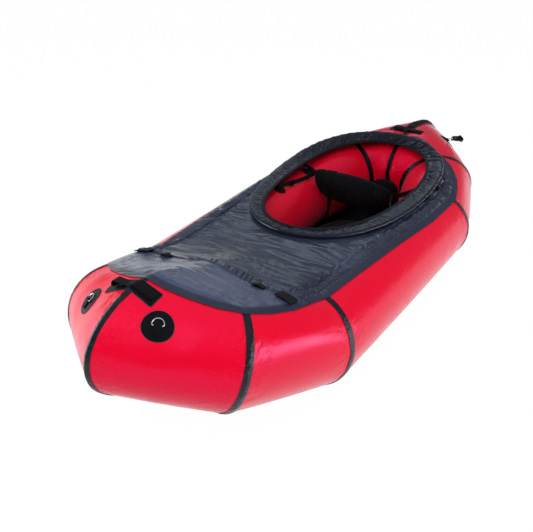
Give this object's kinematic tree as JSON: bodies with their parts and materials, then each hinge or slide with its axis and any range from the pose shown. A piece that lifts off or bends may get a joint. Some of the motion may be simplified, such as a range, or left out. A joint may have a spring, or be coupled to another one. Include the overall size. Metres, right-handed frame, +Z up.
{
  "type": "inflatable packraft with spray deck",
  "caption": "One-person inflatable raft of mitred tubes with a wrinkled spray deck, a raised oval coaming, a padded backrest, a seat, lashing rings and carrying handles.",
  "frame": {"origin": "centre of the raft's length and width, on the ground that its floor rests on", "axes": "+Y towards the stern, +X towards the port side, +Z up"},
  "size_m": [0.8912, 2.3805, 0.4517],
  "materials": {
    "red_skin": "coated fabric, semi gloss, taut",
    "black_tape": "coated tape and patches, satin",
    "deck_fabric": "thin coated nylon, wrinkled, satin",
    "black_fabric": "coated nylon, matt",
    "black_webbing": "woven webbing, matt",
    "black_plastic": "moulded, satin",
    "steel": "welded stainless wire, bright"
  },
  "bodies": {
    "hull": {"bow_tube_port": "red_skin", "fore_quarter_tube_port": "red_skin", "side_tube_port": "red_skin", "aft_quarter_tube_port": "red_skin", "stern_tube_port": "red_skin", "bow_tube_starboard": "red_skin", "fore_quarter_tube_starboard": "red_skin", "side_tube_starboard": "red_skin", "aft_quarter_tube_starboard": "red_skin", "stern_tube_starboard": "red_skin", "seam_tape_bow": "black_tape", "seam_tape_stern": "black_tape", "seam_tape_bow_shoulder_port": "black_tape", "seam_tape_fore_corner_port": "black_tape", "seam_tape_aft_corner_port": "black_tape", "seam_tape_stern_shoulder_port": "black_tape", "seam_tape_bow_shoulder_starboard": "black_tape", "seam_tape_fore_corner_starboard": "black_tape", "seam_tape_aft_corner_starboard": "black_tape", "seam_tape_stern_shoulder_starboard": "black_tape", "floor": "black_fabric", "spray_deck": "deck_fabric", "coaming_band": "deck_fabric", "coaming_hoop": "black_plastic", "coaming_binding": "black_fabric", "bow_ring_patch_port": "black_tape", "bow_ring_patch_starboard": "black_tape", "stern_ring_patch_port": "black_tape", "stern_ring_patch_starboard": "black_tape", "bow_handle_patch": "black_tape", "bow_handle": "black_webbing", "stern_handle_patch": "black_tape", "stern_handle": "black_webbing", "stern_strip": "black_tape", "wide_deck_loop_port": "black_webbing", "wide_deck_loop_starboard": "black_webbing", "narrow_deck_loop_port": "black_webbing", "narrow_deck_loop_starboard": "black_webbing", "front_anchor_patch_port": "black_tape", "front_anchor_patch_starboard": "black_tape", "rear_anchor_patch_port": "black_tape", "rear_anchor_patch_starboard": "black_tape", "front_strap_port": "black_webbing", "front_strap_starboard": "black_webbing", "rear_strap_port": "black_webbing", "rear_strap_starboard": "black_webbing", "strap_buckle_port": "black_plastic", "strap_buckle_starboard": "black_plastic", "seat": "black_fabric", "stowed_bundle": "black_fabric", "valve_base": "black_plastic"},
    "bow_ring_port": {"bow_d_ring_port": "steel"},
    "bow_ring_starboard": {"bow_d_ring_starboard": "steel"},
    "stern_ring_port": {"stern_d_ring_port": "steel"},
    "stern_ring_starboard": {"stern_d_ring_starboard": "steel"},
    "hanging_buckle": {"stern_buckle": "black_plastic"},
    "backrest_pad": {"backrest": "black_fabric"},
    "valve_cap_body": {"valve_cap": "black_plastic"},
    "seat_valve_body": {"seat_valve": "black_plastic"}
  },
  "joints": [
    {"name": "bow_ring_port_swing", "type": "hinge", "parent": "hull", "child": "bow_ring_port", "pos_m": [0.10272, -1.04722, 0.39062], "axis": [0.8057, 0.5585, -0.1974], "range_deg": [0, 130]},
    {"name": "bow_ring_starboard_swing", "type": "hinge", "parent": "hull", "child": "bow_ring_starboard", "pos_m": [-0.13758, -1.03639, 0.37424], "axis": [0.8057, -0.5604, 0.1919], "range_deg": [0, 130]},
    {"name": "stern_ring_port_swing", "type": "hinge", "parent": "hull", "child": "stern_ring_port", "pos_m": [0.15996, 0.90264, 0.33012], "axis": [0.6013, -0.7925, -0.1015], "range_deg": [-30, 75]},
    {"name": "stern_ring_starboard_swing", "type": "hinge", "parent": "hull", "child": "stern_ring_starboard", "pos_m": [-0.15996, 0.90264, 0.33012], "axis": [0.6013, 0.7925, 0.1015], "range_deg": [0, 130]},
    {"name": "hanging_buckle_swing", "type": "hinge", "parent": "stern_ring_port", "child": "hanging_buckle", "pos_m": [0.17463, 0.91388, 0.32922], "axis": [0.6013, -0.7925, -0.1015], "range_deg": [-30, 60]},
    {"name": "backrest_tilt", "type": "hinge", "parent": "hull", "child": "backrest_pad", "pos_m": [-0.02235, 0.25917, 0.27848], "axis": [0.9976, 0, -0.0698], "range_deg": [-15, 20]},
    {"name": "valve_cap_turn", "type": "hinge", "parent": "hull", "child": "valve_cap_body", "pos_m": [-0.37526, 0.53348, 0.23944], "axis": [-0.8522, 0.1845, 0.4896], "range_deg": [0, 90]},
    {"name": "seat_valve_twist", "type": "hinge", "parent": "hull", "child": "seat_valve_body", "pos_m": [0.07, -0.035, 0.0902], "axis": [0, -1, 0], "range_deg": [0, 90]}
  ]
}
